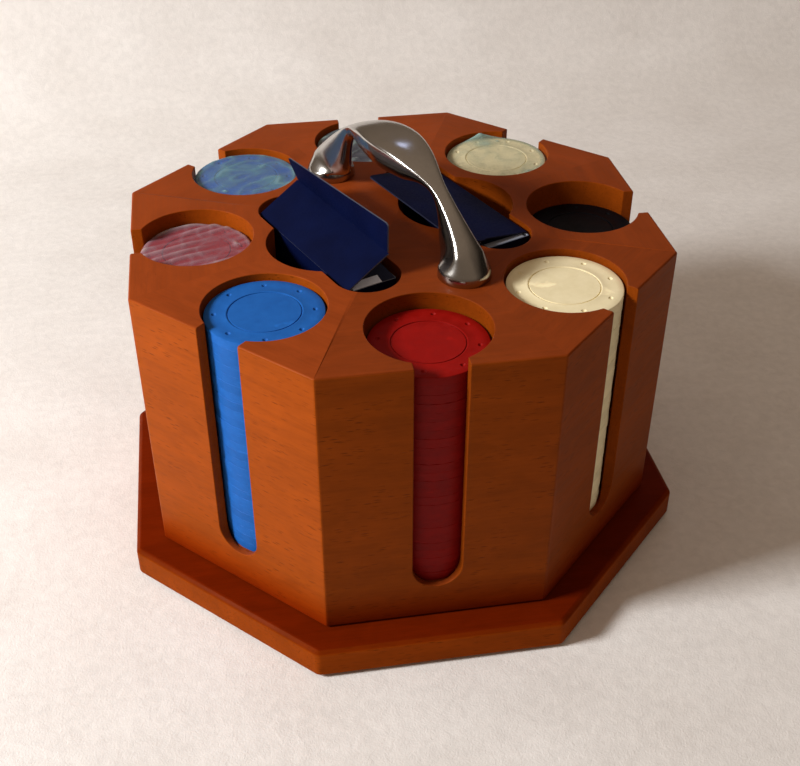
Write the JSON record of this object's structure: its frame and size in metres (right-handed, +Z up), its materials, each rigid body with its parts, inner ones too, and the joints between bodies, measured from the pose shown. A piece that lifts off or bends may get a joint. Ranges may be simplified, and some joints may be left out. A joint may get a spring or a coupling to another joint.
{
  "type": "poker chip caddy",
  "caption": "Revolving octagonal wooden caddy for poker chips and two boxed card decks, with slotted chip bores and an arched metal carrying handle.",
  "frame": {"origin": "centre of the underside of the felt, on the axis that the body turns about", "axes": "+Z up along the turning axis; X and Y square to four of the body's eight faces, with -Y towards the viewer of the picture"},
  "size_m": [0.2062, 0.2062, 0.1516],
  "materials": {
    "wood": "satin lacquer over an orange-brown stain",
    "felt": "pressed felt",
    "nylon": "natural nylon",
    "steel": "zinc plated",
    "brushed_nickel": "satin nickel",
    "chip_black": "moulded clay composite",
    "chip_blue": "moulded clay composite",
    "chip_red": "moulded clay composite",
    "chip_white": "moulded clay composite",
    "clear_film": "clear shrink film",
    "navy_board": "coated paperboard",
    "card_stock": "card edges"
  },
  "bodies": {
    "base": {"base_plate": "wood", "felt_pad": "felt", "glide_ring": "nylon", "pivot_washer": "steel"},
    "carousel": {"body_stave_1": "wood", "body_stave_2": "wood", "body_stave_3": "wood", "body_stave_4": "wood", "body_stave_5": "wood", "body_stave_6": "wood", "body_stave_7": "wood", "body_stave_8": "wood", "pivot_nut": "steel", "pivot_bolt": "steel", "handle": "brushed_nickel", "handle_screws": "steel"},
    "column_black": {"chips_black": "chip_black", "top_chip_black": "chip_black"},
    "column_blue": {"chips_blue": "chip_blue", "top_chip_blue": "chip_blue"},
    "column_red": {"chips_red": "chip_red", "top_chip_red": "chip_red"},
    "column_white": {"chips_white": "chip_white", "top_chip_white": "chip_white"},
    "wrapped_black": {"roll_black": "chip_black", "film_black": "clear_film"},
    "wrapped_blue": {"roll_blue": "chip_blue", "film_blue": "clear_film"},
    "wrapped_red": {"roll_red": "chip_red", "film_red": "clear_film"},
    "wrapped_white": {"roll_white": "chip_white", "film_white": "clear_film"},
    "deck_left": {"deck_box_left": "navy_board", "cards_left": "card_stock", "dust_flaps_left": "navy_board"},
    "lid_left": {"lid_left": "navy_board"},
    "tongue_left": {"tongue_left": "navy_board"},
    "deck_right": {"deck_box_right": "navy_board", "cards_right": "card_stock", "dust_flaps_right": "navy_board"},
    "lid_right": {"lid_right": "navy_board"},
    "tongue_right": {"tongue_right": "navy_board"}
  },
  "joints": [
    {"name": "carousel_turn", "type": "hinge", "parent": "base", "child": "carousel", "pos_m": [0, 0, 0.1173], "axis": [0, 0, 1], "continuous": true},
    {"name": "column_black_lift", "type": "slide", "parent": "carousel", "child": "column_black", "axis": [0, 0, 1], "range_m": [0, 0.11]},
    {"name": "column_blue_lift", "type": "slide", "parent": "carousel", "child": "column_blue", "axis": [0, 0, 1], "range_m": [0, 0.11]},
    {"name": "column_red_lift", "type": "slide", "parent": "carousel", "child": "column_red", "axis": [0, 0, 1], "range_m": [0, 0.11]},
    {"name": "column_white_lift", "type": "slide", "parent": "carousel", "child": "column_white", "axis": [0, 0, 1], "range_m": [0, 0.11]},
    {"name": "wrapped_black_lift", "type": "slide", "parent": "carousel", "child": "wrapped_black", "axis": [0, 0, 1], "range_m": [0, 0.11]},
    {"name": "wrapped_blue_lift", "type": "slide", "parent": "carousel", "child": "wrapped_blue", "axis": [0, 0, 1], "range_m": [0, 0.11]},
    {"name": "wrapped_red_lift", "type": "slide", "parent": "carousel", "child": "wrapped_red", "axis": [0, 0, 1], "range_m": [0, 0.11]},
    {"name": "wrapped_white_lift", "type": "slide", "parent": "carousel", "child": "wrapped_white", "axis": [0, 0, 1], "range_m": [0, 0.11]},
    {"name": "deck_left_lift", "type": "slide", "parent": "carousel", "child": "deck_left", "axis": [0, 0, 1], "range_m": [0, 0.11]},
    {"name": "lid_left_hinge", "type": "hinge", "parent": "deck_left", "child": "lid_left", "pos_m": [-0.03409, -0.01412, 0.1157], "axis": [0.3827, -0.9239, 0], "range_deg": [0, 61]},
    {"name": "tongue_left_crease", "type": "hinge", "parent": "lid_left", "child": "tongue_left", "pos_m": [-0.0196, -0.00812, 0.12571], "axis": [0.3827, -0.9239, 0], "range_deg": [-55, 60]},
    {"name": "deck_right_lift", "type": "slide", "parent": "carousel", "child": "deck_right", "axis": [0, 0, 1], "range_m": [0, 0.11]},
    {"name": "lid_right_hinge", "type": "hinge", "parent": "deck_right", "child": "lid_right", "pos_m": [0.03409, 0.01412, 0.1157], "axis": [-0.3827, 0.9239, 0], "range_deg": [0, 84]},
    {"name": "tongue_right_crease", "type": "hinge", "parent": "lid_right", "child": "tongue_right", "pos_m": [0.01714, 0.0071, 0.11878], "axis": [-0.3827, 0.9239, 0], "range_deg": [0, 100]}
  ]
}
